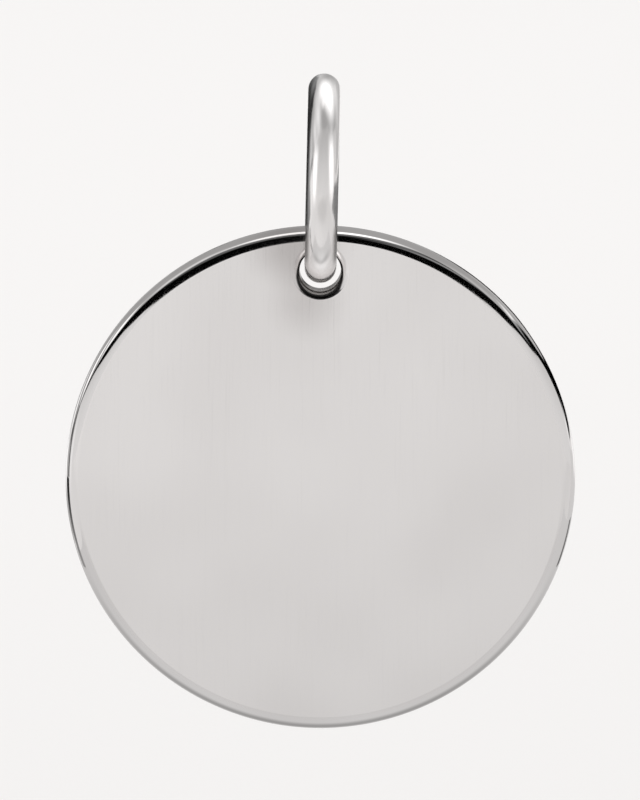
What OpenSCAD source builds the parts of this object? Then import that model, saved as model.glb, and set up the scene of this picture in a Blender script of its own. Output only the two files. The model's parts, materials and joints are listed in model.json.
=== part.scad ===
// Plain disc pendant: a flat round disc that hangs on a ring of round wire.
// Lengths are in millimetres. The disc faces -Y and its hole runs along Y.
// The origin is the top of the ring's eye, where a chain carries the pendant.

/* [Disc] */
// Diameter of the disc
disc_d = 20; // [18:0.5:24]
// Thickness of the disc
disc_t = 1.25; // [1.2:0.05:1.6]
// Radius of the rounding between each face and the rim
rim_r = 0.5; // [0.2:0.05:0.55]

/* [Hole] */
// Diameter of the hole that the ring passes through
hole_d = 1.62; // [1.5:0.02:2]
// Metal left between the hole and the rim
hole_margin = 0.9; // [0.9:0.1:1.5]
// Radius of the rounding at each mouth of the hole
hole_r = 0.3; // [0.1:0.05:0.3]

/* [Ring] */
// Outer diameter of the ring
ring_d = 8.2; // [7:0.1:10]
// Diameter of the ring's round wire
wire_d = 1.25; // [1:0.05:1.3]
// Lean of the ring's top towards +X, in degrees
ring_lean = 1.3; // [-3:0.1:3]
// Least gap between the wire and the hole's top, which hangs on it
hang_gap = 0.04; // [0.03:0.01:0.06]

/* [Hidden] */
$fn = 96;

// Metal past each face that the hole's cutter needs for a clean cut
cutter_reach = 1;

disc_r = disc_d / 2;
hole_in_r = hole_d / 2;
hole_mouth_r = hole_in_r + hole_r;
hole_to_centre = disc_r - hole_margin - hole_in_r;

// Radii of the ring's eye and of the wire's middle line
eye_r = ring_d / 2 - wire_d;
wire_path_r = (ring_d - wire_d) / 2;

// The wire climbs this far along half of the hole's straight wall
wall_half = disc_t / 2 - hole_r;
wire_climb = eye_r - sqrt(pow(eye_r, 2) - pow(wall_half, 2));

// Middle of the wire at the bottom of the leaning ring
wire_low_x = -(eye_r + wire_path_r) * sin(ring_lean);
wire_low_z = -(eye_r + wire_path_r) * cos(ring_lean);

// The hole's top rests on the wire, and the disc hangs from there
hole_z = wire_low_z + wire_d / 2 + wire_climb + hang_gap - hole_in_r;
disc_z = hole_z - hole_to_centre;

// Half of a plate's section: a bar of the given reach with round outer corners
module rounded_bar(reach, thickness, corner) {
    translate([0, -thickness / 2])
        square([reach - corner, thickness]);
    translate([0, corner - thickness / 2])
        square([reach, thickness - 2 * corner]);
    for (side = [-1, 1])
        translate([reach - corner, side * (thickness / 2 - corner)])
            circle(r = corner);
}

// Half of the hole's section: a straight wall that flares out round at both mouths
module flared_hole_section() {
    difference() {
        translate([0, -disc_t / 2 - cutter_reach])
            square([hole_mouth_r, disc_t + 2 * cutter_reach]);
        translate([hole_in_r, -wall_half])
            square([hole_r + cutter_reach, 2 * wall_half]);
        for (side = [-1, 1])
            translate([hole_mouth_r, side * wall_half])
                circle(r = hole_r);
    }
}

// Turns a section about the Y axis
module turned_about_y() {
    rotate([90, 0, 0])
        rotate_extrude()
            children();
}

module disc() {
    color("silver")
        difference() {
            translate([wire_low_x, 0, disc_z])
                turned_about_y()
                    rounded_bar(disc_r, disc_t, rim_r);
            translate([wire_low_x, 0, hole_z])
                turned_about_y()
                    flared_hole_section();
        }
}

module jump_ring() {
    color("gainsboro")
        rotate([0, ring_lean, 0])
            translate([0, 0, -eye_r])
                rotate([0, 90, 0])
                    rotate_extrude()
                        translate([wire_path_r, 0])
                            circle(d = wire_d);
}

jump_ring();
disc();
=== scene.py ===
# %% [markdown]
# A disc pendant in polished silver
#
# The pendant is a flat round disc that hangs on a ring of round wire. The ring passes
# through a small drilled hole near the disc's top edge. Both pieces are solid metal with a
# mirror polish, so almost all that shows on them is the studio around them. The lesson
# therefore has three parts: two clean shapes, a silver with believable small marks, and a
# studio built for what the metal should reflect.

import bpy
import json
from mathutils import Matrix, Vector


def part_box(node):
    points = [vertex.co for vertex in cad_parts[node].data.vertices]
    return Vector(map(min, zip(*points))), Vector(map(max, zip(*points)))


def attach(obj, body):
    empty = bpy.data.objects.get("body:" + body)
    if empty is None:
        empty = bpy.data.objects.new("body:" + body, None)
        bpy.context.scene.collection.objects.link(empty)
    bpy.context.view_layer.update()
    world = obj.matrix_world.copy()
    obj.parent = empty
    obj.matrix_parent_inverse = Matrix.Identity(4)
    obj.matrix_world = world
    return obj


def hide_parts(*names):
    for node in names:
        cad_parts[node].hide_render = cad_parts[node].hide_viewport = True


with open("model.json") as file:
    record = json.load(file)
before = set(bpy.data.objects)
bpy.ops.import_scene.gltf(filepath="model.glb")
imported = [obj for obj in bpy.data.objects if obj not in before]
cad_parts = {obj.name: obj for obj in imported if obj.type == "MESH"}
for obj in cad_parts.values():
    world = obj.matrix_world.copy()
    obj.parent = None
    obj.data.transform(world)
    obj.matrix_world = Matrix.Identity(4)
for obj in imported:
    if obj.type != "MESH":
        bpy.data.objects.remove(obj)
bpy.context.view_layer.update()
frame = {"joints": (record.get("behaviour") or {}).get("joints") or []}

# %% [markdown]
# Sizes
#
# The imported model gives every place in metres. Jewellery has details of a few hundredths of
# a millimetre, and Blender's edit tools treat lengths that small as zero, so each piece is
# modelled at one unit to the millimetre and made a thousand times smaller at the end. The
# disc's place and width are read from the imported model. What a box can't tell, such as the
# radius of a rounded edge, is named here.

# %% Read and name the sizes, in millimetres
import bpy
import bmesh
import json
from math import atan2, cos, hypot, pi, radians, sin, tan
from mathutils import Quaternion, Vector

MM = 0.001

disc_low, disc_high = (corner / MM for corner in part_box("disc"))
disc_centre = (disc_low + disc_high) / 2
disc_radius = (disc_high.x - disc_low.x) / 2
disc_thick = disc_high.y - disc_low.y
rim_rounding = 0.5

hole_radius = 0.81
hole_rounding = 0.3
hole_margin = 0.9
hole_centre = Vector((disc_centre.x, disc_centre.y, disc_high.z - hole_margin - hole_radius))

swing = frame["joints"][0]
ring_centre = Vector(swing["pos_m"]) / MM
ring_axis = Vector(swing["axis"])
ring_low, ring_high = (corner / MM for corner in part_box("jump_ring"))
ring_outer_radius = (ring_high.y - ring_low.y) / 2
wire_radius = 0.625

print("disc radius", round(disc_radius, 3), "thickness", round(disc_thick, 3))
print("hole centre", [round(v, 3) for v in hole_centre])
print("ring centre", [round(v, 3) for v in ring_centre], "outer radius", round(ring_outer_radius, 3))

# %% [markdown]
# The camera
#
# The photograph was taken from a little above, with a long lens: the upper half of the disc
# isn't wider than the lower half, and a thin band of its top edge shows. A camera 10 degrees
# above the horizon and 600 mm away gives both. The lens then follows from the height of the
# picture, 800 pixels of 0.0392 mm each at the pendant.

# %% Set the camera
camera_rise = radians(10)
camera_reach = 600.0
picture_height = 31.34
aim = Vector((-0.155, -0.625, -11.547))

camera_data = bpy.data.cameras.new("pendant_camera")
camera_data.sensor_width = 36.0
camera_data.lens = camera_data.sensor_width * camera_reach / picture_height
camera = bpy.data.objects.new("pendant_camera", camera_data)
bpy.context.scene.collection.objects.link(camera)
towards_camera = Vector((0, -cos(camera_rise), sin(camera_rise)))
camera.location = (aim + towards_camera * camera_reach) * MM
camera.rotation_euler = (pi / 2 - camera_rise, 0, 0)
camera_data.clip_start = 0.01
camera_data.clip_end = 20.0
bpy.context.scene.camera = camera
print("lens", round(camera_data.lens, 1), "mm")

# %% [markdown]
# Working as by hand
#
# The edit tools act on everything that is selected, and loading the model leaves its pieces
# selected. These helpers start each piece with nothing selected, pick edges by where they
# lie, and close a piece when it is done: doubles merged, faces turned outwards, and its
# place and size moved into its mesh.

# %% Helpers for modelling
SAME_POINT = 0.0005


def start_clean():
    if bpy.context.object and bpy.context.object.mode != "OBJECT":
        bpy.ops.object.mode_set(mode="OBJECT")
    bpy.ops.object.select_all(action="DESELECT")


def take(piece):
    """Selects this piece alone and makes it the active one."""
    start_clean()
    piece.select_set(True)
    bpy.context.view_layer.objects.active = piece


def edit(piece):
    take(piece)
    bpy.ops.object.mode_set(mode="EDIT")
    bpy.ops.mesh.select_mode(type="EDGE")
    bpy.ops.mesh.select_all(action="DESELECT")


def settle(piece):
    """Moves the piece's place, turn and size into its mesh."""
    take(piece)
    bpy.ops.object.transform_apply(location=True, rotation=True, scale=True)


def pick_edges(piece, wanted):
    """Selects the edges whose two ends both pass the test."""
    shape = bmesh.from_edit_mesh(piece.data)
    for edge in shape.edges:
        edge.select_set(all(wanted(end.co) for end in edge.verts))
    bmesh.update_edit_mesh(piece.data)


def close_up(piece, name):
    """Merges doubles, turns the faces outwards, shrinks to metres and shades smooth."""
    edit(piece)
    bpy.ops.mesh.select_all(action="SELECT")
    bpy.ops.mesh.remove_doubles(threshold=SAME_POINT)
    bpy.ops.mesh.normals_make_consistent(inside=False)
    start_clean()
    piece.scale = (MM, MM, MM)
    settle(piece)
    bpy.ops.object.shade_smooth()
    piece.name = piece.data.name = name
    shape = bmesh.new()
    shape.from_mesh(piece.data)
    open_edges = sum(1 for edge in shape.edges if len(edge.link_faces) != 2)
    volume = shape.calc_volume(signed=True) / MM**3
    shape.free()
    print(name, "faces", len(piece.data.polygons), "open edges", open_edges, "volume mm3", round(volume, 3))


# %% [markdown]
# The disc
#
# The real disc is punched from sheet, its edge is rounded over on a wheel, and the hole is
# drilled and its mouths are eased so that the ring doesn't saw on them. The same order works
# here. A cylinder gives the blank, and a bevel with many segments rounds its rim. The two
# flat caps get a narrow inset, which holds the smooth shading back to the rounding, so that
# the faces stay flat like a mirror.

# %% Punch the blank and round its rim
ROUND_SIDES = 288
RIM_STEPS = 22
SHADING_STRIP = 0.03
ON_PLANE = 0.001


def on_face(point, side):
    return abs(point.y - disc_centre.y - side * disc_thick / 2) < ON_PLANE


def round_over(rounding, steps):
    """Bevels the picked edges with a quarter circle."""
    bpy.ops.mesh.bevel(
        offset_type="OFFSET", offset=rounding, segments=steps, profile=0.5, affect="EDGES",
        clamp_overlap=False,
    )


start_clean()
bpy.ops.mesh.primitive_cylinder_add(
    vertices=ROUND_SIDES, radius=disc_radius, depth=disc_thick, end_fill_type="NGON",
    location=disc_centre, rotation=(pi / 2, 0, 0),
)
plate = bpy.context.object
settle(plate)

edit(plate)
for side in (-1, 1):
    pick_edges(plate, lambda point: on_face(point, side))
    round_over(rim_rounding, RIM_STEPS)
    bpy.ops.mesh.select_all(action="DESELECT")
for side in (-1, 1):
    bpy.ops.mesh.select_mode(type="FACE")
    bpy.ops.mesh.select_all(action="DESELECT")
    shape = bmesh.from_edit_mesh(plate.data)
    for face in shape.faces:
        face.select_set(len(face.verts) == ROUND_SIDES and on_face(face.calc_center_median(), side))
    bmesh.update_edit_mesh(plate.data)
    bpy.ops.mesh.inset(thickness=SHADING_STRIP, depth=0)
    bpy.ops.mesh.delete(type="ONLY_FACE")
start_clean()
print("blank with open caps:", len(plate.data.polygons), "faces")

# %% [markdown]
# The hole is made as an eyelet, the way it looks when the metal around it is cut away: a
# tube with a flat flange at both ends. The bevel turns the two inner corners into the
# rounded mouths. Each flange then grows until it lands on the open cap of the blank. The
# hole isn't at the disc's centre, but two circles of any size and place always have one
# point about which the one grows into the other, so one resize does it without a twist.

# %% Make the eyelet of the hole and round its mouths
HOLE_STEPS = 12
CIRCLE_SLACK = 0.01
mouth_reach = hole_radius + hole_rounding + SHADING_STRIP


def across_hole(point):
    return hypot(point.x - hole_centre.x, point.z - hole_centre.z)


def on_wall_edge(point, side):
    return on_face(point, side) and across_hole(point) < hole_radius + CIRCLE_SLACK


def grow(side, factor, centre):
    """Extrudes the picked circle of edges and makes the new one larger about a point of the face."""
    bpy.ops.mesh.extrude_edges_move()
    bpy.ops.transform.resize(
        value=(factor, 1, factor), center_override=(centre.x, side * disc_thick / 2, centre.z)
    )


start_clean()
bpy.ops.mesh.primitive_cylinder_add(
    vertices=ROUND_SIDES, radius=hole_radius, depth=disc_thick, end_fill_type="NOTHING",
    location=hole_centre, rotation=(pi / 2, 0, 0),
)
eyelet = bpy.context.object
settle(eyelet)
edit(eyelet)
for side in (-1, 1):
    pick_edges(eyelet, lambda point: on_wall_edge(point, side))
    grow(side, mouth_reach / hole_radius, hole_centre)
for side in (-1, 1):
    pick_edges(eyelet, lambda point: on_wall_edge(point, side))
    round_over(hole_rounding, HOLE_STEPS)
start_clean()
print("eyelet:", len(eyelet.data.polygons), "faces")

# %% Grow the flanges to the rim and join the two pieces
GROW_STEPS = 6
FACING_FRONT = -0.9999
face_reach = disc_radius - rim_rounding - SHADING_STRIP
growth = (face_reach / mouth_reach) ** (1 / GROW_STEPS)
still_point = (hole_centre * face_reach - disc_centre * mouth_reach) / (face_reach - mouth_reach)

edit(eyelet)
for side in (-1, 1):
    pick_edges(eyelet, lambda point: on_face(point, side) and across_hole(point) > mouth_reach - CIRCLE_SLACK)
    for _ in range(GROW_STEPS):
        grow(side, growth, still_point)
start_clean()
eyelet.select_set(True)
plate.select_set(True)
bpy.context.view_layer.objects.active = plate
bpy.ops.object.join()
close_up(plate, "polished_disc")
flat_area = sum(face.area for face in plate.data.polygons if face.normal.y < FACING_FRONT) / MM**2
flat_wanted = pi * ((disc_radius - rim_rounding) ** 2 - (hole_radius + hole_rounding) ** 2)
print("flat front area mm2", round(flat_area, 3), "of", round(flat_wanted, 3))

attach(plate, "disc_body")
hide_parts("disc")

# %% [markdown]
# The ring
#
# The real ring is a length of round wire bent round a rod, with its ends soldered and
# polished until the joint can't be seen. A circle with the wire's section, spun once round
# the ring's axis, is that same shape. Where the spin meets its own start the points are
# merged, and the normals are made to point outwards, because a spin can leave them inside.

# %% Bend the wire into the ring
WIRE_SIDES = 72
RING_STEPS = 288
wire_path = ring_outer_radius - wire_radius

start_clean()
bpy.ops.mesh.primitive_circle_add(
    vertices=WIRE_SIDES, radius=wire_radius, fill_type="NOTHING",
    location=(0, 0, wire_path), rotation=(pi / 2, 0, 0),
)
wire_ring = bpy.context.object
settle(wire_ring)
edit(wire_ring)
bpy.ops.mesh.select_all(action="SELECT")
bpy.ops.mesh.spin(steps=RING_STEPS, angle=2 * pi, center=(0, 0, 0), axis=(1, 0, 0))
start_clean()
wire_ring.rotation_euler = (0, atan2(-ring_axis.z, ring_axis.x), 0)
wire_ring.location = ring_centre
settle(wire_ring)
close_up(wire_ring, "wire_ring")
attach(wire_ring, "ring_body")
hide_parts("jump_ring")

# %% [markdown]
# Shader maths in plain Python
#
# A material's pattern is a sum of masks, and node by node that is hard to read. The class
# below holds one output socket, and Python's own signs add the Math nodes. Any other node
# comes from its one method, node.

# %% A wrapper for shader sockets
class Field:
    def __init__(self, tree, socket):
        self.tree = tree
        self.socket = socket

    def node(self, kind, settings, inputs, output=0):
        """Adds a node, sets its settings, then fills its sockets with values or links."""
        made = self.tree.nodes.new(kind)
        for key, value in settings.items():
            setattr(made, key, value)
        for key, value in inputs.items():
            if isinstance(value, Field):
                self.tree.links.new(value.socket, made.inputs[key])
            else:
                made.inputs[key].default_value = value
        return Field(self.tree, made.outputs[output]) if made.outputs else made

    def maths(self, operation, first, second):
        return self.node("ShaderNodeMath", {"operation": operation}, {0: first, 1: second})

    def __add__(self, other):
        return self.maths("ADD", self, other)

    __radd__ = __add__

    def __sub__(self, other):
        return self.maths("SUBTRACT", self, other)

    def __rsub__(self, other):
        return self.maths("SUBTRACT", other, self)

    def __mul__(self, other):
        return self.maths("MULTIPLY", self, other)

    __rmul__ = __mul__

    def between(self, low, high):
        """A soft step: 0 below low, 1 above high, and the other way round if low is larger."""
        return self.node(
            "ShaderNodeMapRange", {"interpolation_type": "SMOOTHSTEP", "clamp": True},
            {"Value": self, "From Min": low, "From Max": high, "To Min": 0.0, "To Max": 1.0},
        )


# %% [markdown]
# Every pattern starts from the Object coordinates, which here are the pendant's own places
# in metres, so a mark stays on its spot of metal when the disc swings. The helpers below
# turn them into millimetres, measure in them, and mix two colours.

# %% Helpers for places and colours
def object_place(tree):
    """The Object coordinates of a node tree as a Field, in metres."""
    return Field(tree, tree.nodes.new("ShaderNodeTexCoord").outputs["Object"])


def in_mm(place, centre=(0, 0, 0), stretch=(1, 1, 1), turn=(0, 0, 0)):
    """Object coordinates turned into millimetres from a centre, stretched for streaks."""
    moved = place.node(
        "ShaderNodeVectorMath", {"operation": "SUBTRACT"},
        {0: place, 1: tuple(c * MM for c in centre)},
    )
    return place.node(
        "ShaderNodeMapping", {"vector_type": "POINT"},
        {"Vector": moved, "Rotation": turn, "Scale": tuple(s / MM for s in stretch)},
    )


def one_axis(vector, axis):
    """The X, Y or Z of a vector Field."""
    return vector.node("ShaderNodeSeparateXYZ", {}, {"Vector": vector}, output=axis)


def measured(vector, operation, other=None):
    """A number from a vector Field: its LENGTH, or its DISTANCE or DOT_PRODUCT with another vector."""
    inputs = {0: vector} if other is None else {0: vector, 1: tuple(other)}
    return vector.node("ShaderNodeVectorMath", {"operation": operation}, inputs, output="Value")


def distance_from(place, centre, stretch=(1, 1, 1)):
    """The distance in millimetres from a centre. A stretch of 0 leaves that direction out."""
    return measured(in_mm(place, centre=centre, stretch=stretch), "LENGTH")


def tinted(field, light, dark):
    """Mixes two colours by a Field from 0 to 1. The first may be the result of another mix."""
    first = light if isinstance(light, Field) else (*light, 1)
    return field.node(
        "ShaderNodeMix", {"data_type": "RGBA"}, {"Factor": field, 6: first, 7: (*dark, 1)}, output=2
    )


# %% [markdown]
# Polished silver
#
# Silver reflects about nine tenths of the light, a little less of the blue than of the red.
# Polish never leaves it perfect. Fine hairlines run across it in a few directions, the tone
# drifts by one or two parts in a hundred, and a few pits are as small as dust. All of that
# goes into the base colour, the roughness and a bump of a few thousandths of a millimetre.
# The metal itself is the shader's own: metallic one, with no paint.

# %% Marks that both pieces share
SILVER = (0.93, 0.915, 0.911)
BUMP_DISTANCE = 0.002 * MM


def noise(place, size, detail=2.0, rough=0.5):
    """Noise whose blobs are about size millimetres across, from 0 to 1."""
    return place.node(
        "ShaderNodeTexNoise", {"noise_dimensions": "3D"},
        {"Vector": place, "Scale": 1.0 / size, "Detail": detail, "Roughness": rough},
        output="Fac",
    )


def hairlines(place, turn, width, length):
    """Thin lines along one direction of the face: noise squeezed across and drawn out along."""
    drawn = in_mm(place, stretch=(1 / width, 1, 1 / length), turn=(0, turn, 0))
    # Only the noise's highest crests become lines
    return noise(drawn, 1.0, detail=1.0).between(0.56, 0.72)


def pits(place, spacing, radius, keep):
    """Dust-sized pits: one for each cell of a Voronoi pattern, and only some are kept."""
    at = in_mm(place)
    cell, pick = (
        at.node(
            "ShaderNodeTexVoronoi", {"feature": "F1", "voronoi_dimensions": "3D"},
            {"Vector": at, "Scale": 1.0 / spacing, "Randomness": 1.0}, output=output,
        )
        for output in ("Distance", "Color")
    )
    chosen = pick.node("ShaderNodeSeparateColor", {"mode": "RGB"}, {"Color": pick}).between(keep, keep + 0.01)
    return cell.between(radius / spacing, 0.4 * radius / spacing) * chosen


def open_silver(name):
    """A new material and its Object coordinates as a Field, in metres."""
    material = bpy.data.materials.new(name)
    material.use_nodes = True
    return material, object_place(material.node_tree)


def polish(piece, material, colour, roughness, relief, strength):
    """Sends the Fields into the material's shader, the relief through a bump, and puts it on the piece."""
    tree = material.node_tree
    shader = tree.nodes["Principled BSDF"]
    bump = relief.node(
        "ShaderNodeBump", {}, {"Strength": strength, "Distance": BUMP_DISTANCE, "Height": relief},
        output="Normal",
    )
    shader.inputs["Metallic"].default_value = 1.0
    for socket, field in (("Base Color", colour), ("Roughness", roughness), ("Normal", bump)):
        tree.links.new(field.socket, shader.inputs[socket])
    piece.data.materials.append(material)
    print(piece.name, "finish:", len(tree.nodes), "nodes")


# %% [markdown]
# The disc's finish
#
# The disc is the flatter and better polished piece. Beside and below the hole the colour
# carries a painted shade of the ring, and the metal is a little rougher there, fading out over
# two millimetres. The drilled wall of the hole never met the polishing wheel, so it is rougher,
# and its darker grey is painted shade in the hole. The mouth under it is painted nearly black,
# a painted dark reflection. The masks for both are circles that lie a little lower than the
# hole, which makes the dark crescent thickest at the bottom.

# %% The disc's finish
# The disc's dull colour serves both for duller metal and for the painted shade of the ring
DISC_DULL_AND_SHADE = (0.66, 0.635, 0.628)
# Painted shade inside the hole's wall
WALL_SHADE = (0.42, 0.41, 0.40)
# A painted dark reflection at the hole's mouth
MOUTH_DARK_REFLECTION = (0.03, 0.03, 0.03)
ACROSS_ONLY = (1, 0, 1)

disc_silver, place = open_silver("disc_silver")
drift = noise(in_mm(place), 6.0, detail=1.0)
fine_lines = hairlines(place, radians(12), 0.05, 3.0) * 0.6 + hairlines(place, radians(-74), 0.04, 2.0) * 0.4
dust = pits(place, spacing=1.9, radius=0.045, keep=0.78)

front_of_hole = hole_centre - Vector((0, disc_thick / 2, 0))
# Painted shade of the ring beside and below the hole, where the metal is also a little rougher
beside_ring = distance_from(place, front_of_hole + Vector((-0.96, 0, 0.87)), (1, 0.5, 1.25)).between(2.4, 0.1)
below_hole = distance_from(place, front_of_hole + Vector((-0.49, 0, -1.12)), (1, 0.5, 1)).between(2.0, 0.0)
painted_ring_shade = beside_ring * 0.9 + below_hole * 0.6

wall_centre = hole_centre - Vector((0.02, 0, 0.18))
mouth_centre = hole_centre - Vector((0.02, 0, 0.10))
# The wall is rougher, and its darker grey is painted shade in the hole
wall = distance_from(place, wall_centre, ACROSS_ONLY).between(0.95, 0.885)
# Painted dark reflection on the mouth, thickest at the bottom of the hole
mouth = distance_from(place, mouth_centre, ACROSS_ONLY).between(0.8, 0.86) * wall

darkening = drift.between(0.3, 0.7) * 0.16 + painted_ring_shade + fine_lines * 0.02 + dust * 0.9
colour = tinted(darkening, SILVER, DISC_DULL_AND_SHADE)
colour = tinted(wall, colour, WALL_SHADE)
colour = tinted(mouth, colour, MOUTH_DARK_REFLECTION)
roughness = 0.055 + drift * 0.02 + fine_lines * 0.05 + painted_ring_shade * 0.07 + dust * 0.2 + wall * 0.18
relief = fine_lines * 0.5 - dust * 2.0
polish(plate, disc_silver, colour, roughness, relief, strength=0.05)

# %% [markdown]
# The ring's finish
#
# The ring's wire was drawn and then bent, so its surface is less true than the disc's. A
# slow waviness makes the reflections along it wander a little, as they do on real wire.
# Where the wire enters the hole, its two flanks carry a painted shade and are a little rougher.
# The mask for them reads how far a place lies to either side of the ring's own plane, and how
# far below its centre.

# %% The ring's finish
RING_DULL = (0.72, 0.70, 0.69)
# Painted shade on the wire's flanks where it passes the disc
FLANK_SHADE = (0.12, 0.115, 0.11)

ring_silver, place = open_silver("ring_silver")
drift = noise(in_mm(place), 2.2, detail=1.0)
fine_lines = hairlines(place, radians(4), 0.03, 1.2)
wave = noise(in_mm(place), 1.6, detail=0.0)
dust = pits(place, spacing=1.1, radius=0.035, keep=0.8)

offset = in_mm(place, centre=ring_centre)
sideways = measured(offset, "DOT_PRODUCT", ring_axis)
height = one_axis(offset, "Z")
# The flanks' mask places the painted shade where the wire passes the disc
both_flanks = sideways.between(0.4, 0.6) + sideways.between(-0.4, -0.6)
flanks = both_flanks * height.between(-1.0, -1.8) * height.between(-3.2, -2.6)

darkening = drift.between(0.35, 0.75) * 0.2 + fine_lines * 0.06 + dust * 0.6
colour = tinted(darkening, SILVER, RING_DULL)
colour = tinted(flanks, colour, FLANK_SHADE)
roughness = 0.14 + drift * 0.04 + fine_lines * 0.04 + dust * 0.15 + flanks * 0.1
relief = wave * 12.0 + fine_lines * 0.5 - dust * 1.5
polish(wire_ring, ring_silver, colour, roughness, relief, strength=0.4)

# %% [markdown]
# The studio
#
# A mirror shows its surroundings, so the studio is designed by direction: for each part of
# the metal, what it looks at is worked out, and a thing of the right tone is stood there.
# The disc's face looks 10 degrees down in front, at the floor. That is a sheet of pale paper
# with a soft shade on it, which gives the face its slow change of tone. The air is nearly
# white to the camera and a middle grey to the metal. The two lamps light the paper alone.

# %% The floor and the air around it
FLOOR_DROP = 101.6
FLOOR_SIZE = 8
PALE_PAPER, SHADED_PAPER = 0.845, 0.65
AIR_FOR_METAL, AIR_FOR_CAMERA = 0.37, 0.90


def warm_grey(tone, warmth=0.012):
    return (tone * (1 + warmth), tone, tone * (1 - warmth * 0.6))


start_clean()
bpy.ops.mesh.primitive_plane_add(size=FLOOR_SIZE, location=(0, 0, -FLOOR_DROP * MM))
floor = bpy.context.object
floor.name = "studio_floor"
paper = bpy.data.materials.new("pale_paper")
paper.use_nodes = True
paper_shader = paper.node_tree.nodes["Principled BSDF"]
spot = object_place(paper.node_tree)
# The shade starts and ends at these metres to the side, along the floor, and from a pool in front
aside, along = one_axis(spot, "X"), one_axis(spot, "Y")
pool_distance = measured(spot, "DISTANCE", (0, -0.25, 0))
front_shade = along.between(-0.54, -0.40) * 0.32
right_shade = aside.between(-0.05, 0.05) * 0.3
pool_shade = pool_distance.between(0.165, 0.1) * 0.6
shade = (front_shade + right_shade + pool_shade) * along.between(0.36, 0.05)
paper_tone = tinted(shade, warm_grey(PALE_PAPER), warm_grey(SHADED_PAPER))
paper.node_tree.links.new(paper_tone.socket, paper_shader.inputs["Base Color"])
paper_shader.inputs["Roughness"].default_value = 0.9
paper_shader.inputs["Specular IOR Level"].default_value = 0.0
floor.data.materials.append(paper)

world = bpy.data.worlds.new("studio_air")
world.use_nodes = True
bpy.context.scene.world = world
background = world.node_tree.nodes["Background"]
air = Field(world.node_tree, background.outputs[0])
for_camera = air.node("ShaderNodeLightPath", {}, {}, output="Is Camera Ray")
air_colour = tinted(for_camera, warm_grey(AIR_FOR_METAL), warm_grey(AIR_FOR_CAMERA))
world.node_tree.links.new(air_colour.socket, background.inputs["Color"])
print("floor", FLOOR_DROP, "mm below the ring's eye")


# %% Light the paper
def floor_lamp(name, kind, power, place):
    """A lamp for the floor alone: neither the camera nor the metal sees it."""
    lamp = bpy.data.lights.new(name, kind)
    lamp.energy = power
    stand = bpy.data.objects.new(name, lamp)
    bpy.context.scene.collection.objects.link(stand)
    stand.location = place
    stand.visible_camera = False
    stand.visible_glossy = False
    return lamp


even_light = floor_lamp("even_light", "SUN", 1.68, (0, 0, 2))
even_light.angle = radians(60)
back_light = floor_lamp("back_light", "AREA", 1.45, (0, 0.62, 0.55))
back_light.shape = "RECTANGLE"
back_light.size, back_light.size_y = 1.6, 0.4

bpy.context.scene.view_settings.view_transform = "Standard"
bpy.context.scene.view_settings.look = "None"
print("paper lit by", even_light.name, "and", back_light.name)

# %% [markdown]
# What the metal sees
#
# Two kinds of things stand round the pendant, hidden from the camera. A curtain is a glowing
# strip with sharp edges, and it hides what is behind it, also another curtain. A soft lamp
# fades out at its edges and adds to what is behind it. Both are placed by direction: azimuth
# 0 is towards the camera and negative is to the left, and elevation is above the horizon.
# Light linking decides which piece each of them lights. A curtain looks black to a piece that
# it doesn't light, and that is how the disc's rim can show black where the wire of the ring
# shows a light grey.

# %% Name the pieces that a light is for
def lit(name, *pieces):
    """A collection of pieces for light linking."""
    group = bpy.data.collections.new(name)
    for piece in pieces:
        group.objects.link(piece)
    return group


disc_only = lit("lit_disc", plate)
ring_only = lit("lit_ring", wire_ring)
both_pieces = lit("lit_metal", plate, wire_ring)


# %% Helpers for curtains
# The point that all directions are counted from, a little below the ring's eye
heart = Vector((0, 0, -5))


def towards(azimuth, elevation):
    """The direction at two angles in degrees, as a vector one unit long."""
    a, e = radians(azimuth), radians(elevation)
    return Vector((sin(a) * cos(e), -cos(a) * cos(e), sin(e)))


def curtain(name, points, low_tone, high_tone, seen_by):
    """A strip through pairs of points in millimetres. Its tone runs from its lowest place to its highest."""
    points = [point * MM for point in points]
    folds = [(i, i + 2, i + 3, i + 1) for i in range(0, len(points) - 2, 2)]
    mesh = bpy.data.meshes.new(name)
    mesh.from_pydata(points, [], folds)
    panel = bpy.data.objects.new(name, mesh)
    bpy.context.scene.collection.objects.link(panel)
    glow = bpy.data.materials.new(name)
    glow.use_nodes = True
    tree = glow.node_tree
    tree.nodes.clear()
    heights = [point.z for point in points]
    climb = one_axis(object_place(tree), "Z").between(min(heights), max(heights))
    tone = low_tone + climb * (high_tone - low_tone)
    shine = tone.node("ShaderNodeEmission", {}, {"Color": (*warm_grey(1.0), 1), "Strength": tone})
    tone.node("ShaderNodeOutputMaterial", {}, {"Surface": shine})
    mesh.materials.append(glow)
    panel.visible_camera = False
    panel.visible_diffuse = False
    panel.visible_shadow = False
    panel.light_linking.receiver_collection = seen_by
    return panel


def card(name, columns, reach, low_tone, high_tone, seen_by):
    """A curtain from azimuth to azimuth. Each column gives azimuth, lowest and highest elevation."""
    points = []
    for azimuth, low, high in columns:
        points += [heart + towards(azimuth, elevation) * reach for elevation in (low, high)]
    curtain(name, points, low_tone, high_tone, seen_by)


# %% [markdown]
# The rounded rim of the disc is where the studio shows most. From the flat face outwards it
# looks along the floor, past the horizon and up over the front, and so it shows the front
# curtain as a black band. Where that curtain's lower edge drops or rises, the band grows or
# thins out, so its columns follow the band round the rim. The curtains at the sides and the
# back carry on the band's two ends.

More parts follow.
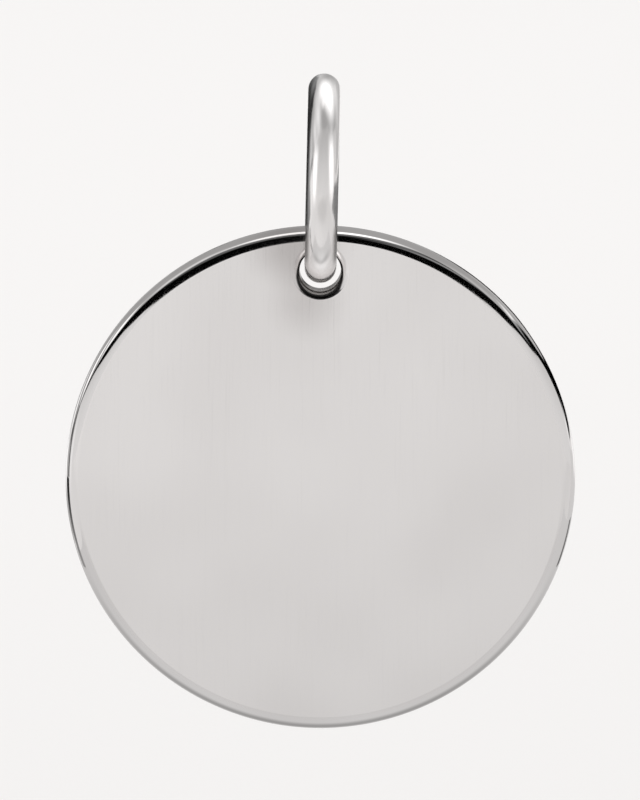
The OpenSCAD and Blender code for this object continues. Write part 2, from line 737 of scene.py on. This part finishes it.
# %% Stand the curtains
card(
    "front_backing",
    [
        (-100, -8, 5), (-75, -8, 20), (-55, -8, 33), (-25, -8, 40), (0, -8, 40), (25, -8, 40),
        (55, -8, 31), (80, -8, 28), (100, -8, 16),
    ],
    330, 0.72, 0.50, both_pieces,
)
card(
    "front_dark",
    [
        (-80, 10, 22), (-74, 13, 24), (-68, 14, 36), (-60, 14, 60), (-50, 14, 62), (-40, 12, 63),
        (-28, 10.4, 63), (-22, 8.8, 63), (-16, 4.7, 64), (-10, -1.2, 64), (-4, -6, 64), (2, -6.8, 64),
        (8, -2.5, 64), (14, 3.5, 64), (20, 7.4, 63), (26, 9.4, 63), (32, 12, 63), (38, 15, 62),
        (44, 16.7, 62), (56, 16.6, 60), (64, 18, 36), (70, 18.6, 31), (78, 19, 30), (88, 16, 31),
        (94, 11, 30), (100, 5, 27), (110, -3, 22),
    ],
    300, 0.72, 0.47, ring_only,
)
card(
    "left_wing_dark",
    [(-134, -18, -9), (-120, -16, -6), (-105, -6, 2), (-92, 5, 13), (-80, 10, 18)],
    270, 0.07, 0.07, both_pieces,
)
card(
    "left_back_dark",
    [(-172, -30, 16), (-150, -34, 32), (-130, -36, 28), (-110, -40, 6), (-94, -40, -10)],
    280, 0.5, 0.32, disc_only,
)
card(
    "left_horizon",
    [(-178, -8, 4), (-165, -8, 6), (-155, -3, 13), (-148, 0, 19), (-140, 5, 22), (-131, 15, 25)],
    272, 0.01, 0.01, both_pieces,
)
card(
    "right_horizon",
    [(110, -3, 20), (120, -3, 14), (130, -3, 12), (150, -3, 10), (160, -3, 7), (175, -5, 3)],
    285, 0.48, 0.52, ring_only,
)
card(
    "right_horizon_high",
    [(110, 20, 22), (120, 14, 24), (130, 12, 26), (150, 10, 25), (160, 7, 14), (175, 3, 6)],
    285, 0.4, 0.5, both_pieces,
)
card(
    "right_low",
    [(78, -38, -16), (92, -38, -4), (115, -34, -6), (140, -34, -6), (165, -24, -7)],
    280, 0.60, 0.66, disc_only,
)

# %% [markdown]
# The outermost part of the rim looks sideways, along the disc's own plane. Strips that run
# round the disc a few millimetres away follow it there. They give it a pale edge below, and
# the thin dark lines at its left and right. The pale strip, the gutter, is a shade darker at
# its bottom, level with the disc.

# %% Strips that follow the disc's rim
STRIP_STEP = 5
GUTTER_GAP = 5.0
LINE_GAP = 4.5
GUTTER_TONE = 0.62


def rim_strip(name, first, last, y_range, low_tone, high_tone, seen_by, gap=GUTTER_GAP):
    """A strip a gap away from the rim, between two clock angles that are counted from the right."""
    points = []
    steps = round(abs(last - first) / STRIP_STEP)
    for i in range(steps + 1):
        turn = radians(first + (last - first) * i / steps)
        beside = disc_centre + Vector((cos(turn), 0, sin(turn))) * (disc_radius + gap)
        points += [beside + Vector((0, y, 0)) for y in y_range]
    return curtain(name, points, low_tone, high_tone, seen_by)


gutter = rim_strip("rim_gutter", 200, 347, (-11, 9), GUTTER_TONE, GUTTER_TONE, both_pieces)
gutter_tree = gutter.data.materials[0].node_tree
at = in_mm(object_place(gutter_tree))
depth, height = one_axis(at, "Y"), one_axis(at, "Z")
dip = depth.between(-4.2, 0.6) * depth.between(8.0, 0.6) * height.between(-19.0, -29.0)
gutter_tone = GUTTER_TONE - dip * 0.28
gutter_tree.links.new(gutter_tone.socket, gutter_tree.nodes["Emission"].inputs["Strength"])
rim_strip("left_rim_line", 166, 183, (-0.6, 0.5), 0.05, 0.2, disc_only)
rim_strip("left_rim_line_low", 183, 204, (-0.4, 2.5), 0.3, 0.0, disc_only, gap=LINE_GAP)
rim_strip("right_rim_line_low", 336, 347, (1.2, 4.0), 0.12, 0.2, disc_only, gap=LINE_GAP)
print("rim strips reach", round(disc_radius + GUTTER_GAP, 1), "mm from the disc's centre")

# %% [markdown]
# A soft lamp is an area lamp whose own nodes fade it out towards its edges. Its power is
# worked out from its size, so that its middle has the brightness it is given.

# %% Helpers for soft lamps
LAMP_REACH = 210


def soft_panel(name, spot, way, width, height, tone, seen_by, edge, tilt=0):
    """A soft lamp at a spot that looks against the given way. Its sizes are in millimetres."""
    lamp = bpy.data.lights.new(name, "AREA")
    lamp.shape = "RECTANGLE"
    lamp.size = width * MM
    lamp.size_y = height * MM
    lamp.energy = tone * pi * lamp.size * lamp.size_y
    lamp.use_nodes = True
    tree = lamp.node_tree
    across = Field(tree, tree.nodes.new("ShaderNodeNewGeometry").outputs["Parametric"])
    glow = 1.0
    for axis in ("X", "Y"):
        along = one_axis(across, axis)
        glow = along.between(0.0, edge) * along.between(1.0, 1.0 - edge) * glow
    tree.links.new(glow.socket, tree.nodes["Emission"].inputs["Strength"])
    box = bpy.data.objects.new(name, lamp)
    bpy.context.scene.collection.objects.link(box)
    box.location = spot * MM
    box.rotation_mode = "QUATERNION"
    box.rotation_quaternion = way.to_track_quat("Z", "Y") @ Quaternion((0, 0, 1), radians(tilt))
    box.visible_camera = False
    box.visible_diffuse = False
    box.light_linking.receiver_collection = seen_by


def softbox(name, azimuth, elevation, width, height, tone, seen_by, edge, tilt=0, reach=LAMP_REACH):
    """A soft lamp that covers the given angles, seen from the heart of the pendant."""
    way = towards(azimuth, elevation)
    sides = [2 * reach * tan(radians(angle / 2)) for angle in (width, height)]
    soft_panel(name, heart + way * reach, way, *sides, tone, seen_by, edge, tilt)


# %% [markdown]
# For the disc, a strip overhead gives the bright line on the top of the rim. Four lamps at
# the left follow the rim down as one pale band. The haze greys the black band a little, as
# dust and fine scratches do, and the glints and the streak are the thin light lines where
# the band runs out.

# %% Soft lamps for the disc
# Each row gives name, azimuth, elevation, width, height, tone, soft edge and tilt
disc_lamps = [
    ("overhead_strip", 0, 75, 62, 27, 1.1, 0.35, 0),
    ("front_haze", 38, 41, 52, 13, 0.3, 0.5, 0),
    ("front_haze_high", 0, 57, 104, 28, 0.19, 0.5, 0),
    ("left_sky", -76, 51, 34, 34, 0.32, 0.35, 0),
    ("left_band_high", -87, 27, 24, 20, 0.8, 0.35, -34),
    ("left_band", -105, 14, 34, 15, 0.9, 0.35, -34),
    ("left_band_low", -130, 1, 32, 12, 0.8, 0.35, -20),
    ("left_band_end", -142, -10, 46, 12, 0.7, 0.35, 0),
    ("left_low_glint", -74, -6, 22, 24, 0.16, 0.45, 0),
    ("right_sky", 78, 44, 40, 30, 0.12, 0.45, 0),
    ("right_gap", 70, 26, 12, 12, 0.3, 0.4, 0),
    ("right_streak", 93, 32, 52, 10, 0.55, 0.5, 8),
    ("right_low_glint", 102, 1, 24, 8, 0.4, 0.35, 20),
    ("glint_back_right", 138, -9, 40, 9, 0.4, 0.35, 0),
]
for name, *angles, tone, edge, tilt in disc_lamps:
    softbox(name, *angles, tone, disc_only, edge, tilt)
print("soft lamps for the disc:", len(disc_lamps))

# %% [markdown]
# For the ring, two tall boxes in front give the long white streaks on its wire, and the
# large one behind gives the white patch at its top. The rest are faint and lift the greys
# between the streaks. Two of those stand under the ring, and one just in front of the disc's
# face, which the lowest part of the wire mirrors.

# %% Soft lamps for the ring
# Each row gives name, azimuth, elevation, width, height, tone and soft edge
ring_lamps = [
    ("ring_box_left", -59, 10, 46, 66, 0.95, 0.5),
    ("ring_box_right", 66, 14, 54, 74, 0.95, 0.5),
    ("ring_blob", 150, 58, 84, 72, 1.4, 0.5),
    ("ring_back_right", 146, 22, 60, 40, 0.36, 0.5),
    ("ring_back_left", -173, 12, 26, 50, 0.2, 0.5),
    ("ring_left_sky", -118, 56, 110, 56, 0.36, 0.45),
    ("ring_left_edge", -158, 19, 38, 36, 0.2, 0.5),
    ("ring_front_left", -47, 31, 26, 36, 0.25, 0.5),
    ("ring_left_high", -88, 35, 52, 24, 0.3, 0.5),
    ("ring_top_left", -70, 63, 62, 36, 0.22, 0.5),
    ("ring_top", -150, 80, 26, 22, 0.36, 0.5),
    ("ring_right_sky", 95, 46, 70, 44, 0.15, 0.45),
    ("ring_left_veil", -104, -4, 70, 80, 0.33, 0.5),
    ("ring_left_floor", -150, -26, 60, 40, 0.18, 0.5),
    ("ring_left_lift", -140, -2, 90, 84, 0.02, 0.3),
    ("ring_right_low_veil", 126, -14, 80, 26, 0.2, 0.3),
    ("ring_right_veil", 86, -14, 40, 38, 0.25, 0.5),
]
for name, *angles, tone, edge in ring_lamps:
    softbox(name, *angles, tone, ring_only, edge)
softbox("ring_under", 0, -88, 104, 104, 0.05, ring_only, 0.45, reach=60)
softbox("ring_under_near", 0, -88, 52, 44, 0.2, ring_only, 0.5, reach=20)
soft_panel("ring_by_face", Vector((0, -0.75, -13.5)), Vector((0, 1, 0)), 13, 14, 0.3, ring_only, 0.4)
